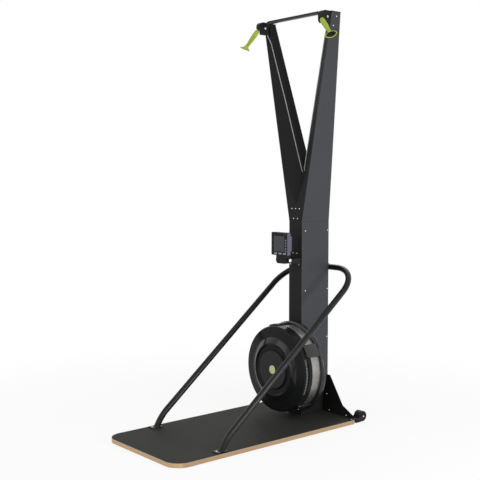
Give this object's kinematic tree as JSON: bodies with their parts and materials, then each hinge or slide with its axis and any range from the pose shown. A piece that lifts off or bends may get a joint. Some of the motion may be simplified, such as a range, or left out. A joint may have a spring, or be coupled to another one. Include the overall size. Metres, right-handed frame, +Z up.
{
  "type": "ski trainer machine",
  "caption": "Standing ski trainer: deck with hooped handrail, column splitting into two arms with top pulleys, pull cords with handles, air flywheel, tilting monitor and transport wheels.",
  "frame": {"origin": "on the floor, under the centre of the overall length and width", "axes": "+X to the right of the person using it, +Y from the deck's front edge towards the column, +Z up"},
  "size_m": [0.7206, 1.27, 2.159],
  "materials": {
    "deck_wood": "sealed edge",
    "deck_laminate": "fine textured laminate",
    "black_metal": "satin powder coat",
    "slate_metal": "fine textured powder coat",
    "steel": "satin",
    "mesh": "perforated, satin",
    "flywheel_metal": "satin",
    "black_plastic": "fine grain",
    "gloss_black_plastic": "polished",
    "monitor_plastic": "fine grain",
    "button_rubber": "matte",
    "display": "anti-glare",
    "grip_green": "satin, moulded",
    "badge": "satin",
    "cord": "braided",
    "elastic": "braided sleeve",
    "knob_white": "satin",
    "wheel_plastic": "satin"
  },
  "bodies": {
    "frame": {"deck_board": "deck_wood", "deck_surface": "deck_laminate", "handrail": "black_metal", "rail_clamp": "black_metal", "rear_plate": "black_metal", "wheel_bracket_right": "black_metal", "wheel_bracket_left": "black_metal", "wheel_axle_right": "steel", "wheel_axle_left": "steel", "column_front": "black_metal", "column_rear": "black_metal", "side_panel_right": "slate_metal", "side_panel_left": "slate_metal", "arm_channel_right": "black_metal", "arm_channel_left": "black_metal", "arm_panel_right": "slate_metal", "arm_panel_left": "slate_metal", "pulley_housing_right": "black_plastic", "pulley_housing_left": "black_plastic", "pulley_pin_right": "steel", "pulley_pin_left": "steel", "crossbar": "black_metal", "cord_right": "cord", "cord_left": "cord", "flywheel_cover": "gloss_black_plastic", "centre_badge": "badge", "mesh_band": "mesh", "rear_housing": "black_plastic", "bearing_block": "black_metal", "bearing_front": "steel", "bearing_rear": "steel", "return_cord": "elastic", "return_pin": "steel", "monitor_bracket": "black_metal"},
    "flywheel": {"flywheel_fan": "flywheel_metal", "flywheel_shaft": "steel"},
    "damper": {"damper_ring": "black_plastic"},
    "spool_right": {"cord_spool_right": "black_plastic"},
    "spool_left": {"cord_spool_left": "black_plastic"},
    "return_idler": {"return_pulley": "black_plastic"},
    "top_pulley_right": {"top_pulley_right": "black_plastic"},
    "top_pulley_left": {"top_pulley_left": "black_plastic"},
    "pull_right": {"cord_end_right": "cord"},
    "pull_left": {"cord_end_left": "cord"},
    "handle_right": {"handle_right": "grip_green"},
    "handle_left": {"handle_left": "grip_green"},
    "monitor": {"monitor_case": "monitor_plastic", "monitor_screen": "display", "monitor_cradle": "black_plastic"},
    "monitor_knob": {"monitor_knob": "knob_white"},
    "wheel_right": {"wheel_right": "wheel_plastic"},
    "wheel_left": {"wheel_left": "wheel_plastic"},
    "side_button_1": {"side_button_1": "button_rubber"},
    "side_button_2": {"side_button_2": "button_rubber"},
    "side_button_3": {"side_button_3": "button_rubber"},
    "side_button_4": {"side_button_4": "button_rubber"},
    "side_button_5": {"side_button_5": "button_rubber"},
    "menu_button_1": {"menu_button_1": "button_rubber"},
    "menu_button_2": {"menu_button_2": "button_rubber"},
    "menu_button_3": {"menu_button_3": "button_rubber"}
  },
  "joints": [
    {"name": "flywheel_spin", "type": "hinge", "parent": "frame", "child": "flywheel", "pos_m": [0, 0.31, 0.2888], "axis": [0, 1, 0], "continuous": true},
    {"name": "damper_turn", "type": "hinge", "parent": "frame", "child": "damper", "pos_m": [0, 0.265, 0.2888], "axis": [0, 1, 0], "range_deg": [0, 34]},
    {"name": "pull_right", "type": "slide", "parent": "frame", "child": "pull_right", "axis": [0, -0.3721, -0.9282], "range_m": [0, 1.15], "stiffness_N_per_m": 10, "springref_m": -1},
    {"name": "handle_swing_right", "type": "hinge", "parent": "pull_right", "child": "handle_right", "pos_m": [0.247, 0.321, 2.108], "axis": [0, 1, 0], "range_deg": [-30, 48]},
    {"name": "top_pulley_right_turn", "type": "hinge", "parent": "frame", "child": "top_pulley_right", "pos_m": [0.238, 0.356, 2.124], "axis": [1, 0, 0], "range_deg": [0, 3100]},
    {"name": "spool_right_turn", "type": "hinge", "parent": "frame", "child": "spool_right", "pos_m": [0, 0.4191, 0.2888], "axis": [0, -1, 0], "range_deg": [0, 2240]},
    {"name": "pull_left", "type": "slide", "parent": "frame", "child": "pull_left", "axis": [0, -0.3721, -0.9282], "range_m": [0, 1.15], "stiffness_N_per_m": 10, "springref_m": -1},
    {"name": "handle_swing_left", "type": "hinge", "parent": "pull_left", "child": "handle_left", "pos_m": [-0.247, 0.321, 2.108], "axis": [0, -1, 0], "range_deg": [-30, 48]},
    {"name": "top_pulley_left_turn", "type": "hinge", "parent": "frame", "child": "top_pulley_left", "pos_m": [-0.238, 0.356, 2.124], "axis": [1, 0, 0], "range_deg": [0, 3100]},
    {"name": "spool_left_turn", "type": "hinge", "parent": "frame", "child": "spool_left", "pos_m": [0, 0.4694, 0.2888], "axis": [0, -1, 0], "range_deg": [0, 2240]},
    {"name": "return_idler_turn", "type": "hinge", "parent": "frame", "child": "return_idler", "pos_m": [-0.0173, 0.44425, 0.96], "axis": [1, 0, 0], "continuous": true},
    {"name": "monitor_tilt", "type": "hinge", "parent": "frame", "child": "monitor", "pos_m": [0, 0.29, 0.872], "axis": [1, 0, 0], "range_deg": [-28, 12]},
    {"name": "knob_turn", "type": "hinge", "parent": "frame", "child": "monitor_knob", "pos_m": [0.046, 0.29, 0.872], "axis": [1, 0, 0], "range_deg": [0, 360]},
    {"name": "side_button_1_press", "type": "slide", "parent": "monitor", "child": "side_button_1", "axis": [0, 1, 0], "range_m": [0, 0.001], "stiffness_N_per_m": 500, "springref_m": -0.001},
    {"name": "side_button_2_press", "type": "slide", "parent": "monitor", "child": "side_button_2", "axis": [0, 1, 0], "range_m": [0, 0.001], "stiffness_N_per_m": 500, "springref_m": -0.001},
    {"name": "side_button_3_press", "type": "slide", "parent": "monitor", "child": "side_button_3", "axis": [0, 1, 0], "range_m": [0, 0.001], "stiffness_N_per_m": 500, "springref_m": -0.001},
    {"name": "side_button_4_press", "type": "slide", "parent": "monitor", "child": "side_button_4", "axis": [0, 1, 0], "range_m": [0, 0.001], "stiffness_N_per_m": 500, "springref_m": -0.001},
    {"name": "side_button_5_press", "type": "slide", "parent": "monitor", "child": "side_button_5", "axis": [0, 1, 0], "range_m": [0, 0.001], "stiffness_N_per_m": 500, "springref_m": -0.001},
    {"name": "menu_button_1_press", "type": "slide", "parent": "monitor", "child": "menu_button_1", "axis": [0, 1, 0], "range_m": [0, 0.001], "stiffness_N_per_m": 500, "springref_m": -0.001},
    {"name": "menu_button_2_press", "type": "slide", "parent": "monitor", "child": "menu_button_2", "axis": [0, 1, 0], "range_m": [0, 0.001], "stiffness_N_per_m": 500, "springref_m": -0.001},
    {"name": "menu_button_3_press", "type": "slide", "parent": "monitor", "child": "menu_button_3", "axis": [0, 1, 0], "range_m": [0, 0.001], "stiffness_N_per_m": 500, "springref_m": -0.001},
    {"name": "wheel_right_spin", "type": "hinge", "parent": "frame", "child": "wheel_right", "pos_m": [0.2645, 0.6075, 0.029], "axis": [1, 0, 0], "continuous": true},
    {"name": "wheel_left_spin", "type": "hinge", "parent": "frame", "child": "wheel_left", "pos_m": [-0.2645, 0.6075, 0.029], "axis": [1, 0, 0], "continuous": true}
  ],
  "couplings": [
    {"joint": "top_pulley_right_turn", "follows": "pull_right", "rad_per_m": 46.729},
    {"joint": "spool_right_turn", "follows": "pull_right", "rad_per_m": 33.557},
    {"joint": "top_pulley_left_turn", "follows": "pull_left", "rad_per_m": 46.729},
    {"joint": "spool_left_turn", "follows": "pull_left", "rad_per_m": 33.557}
  ]
}
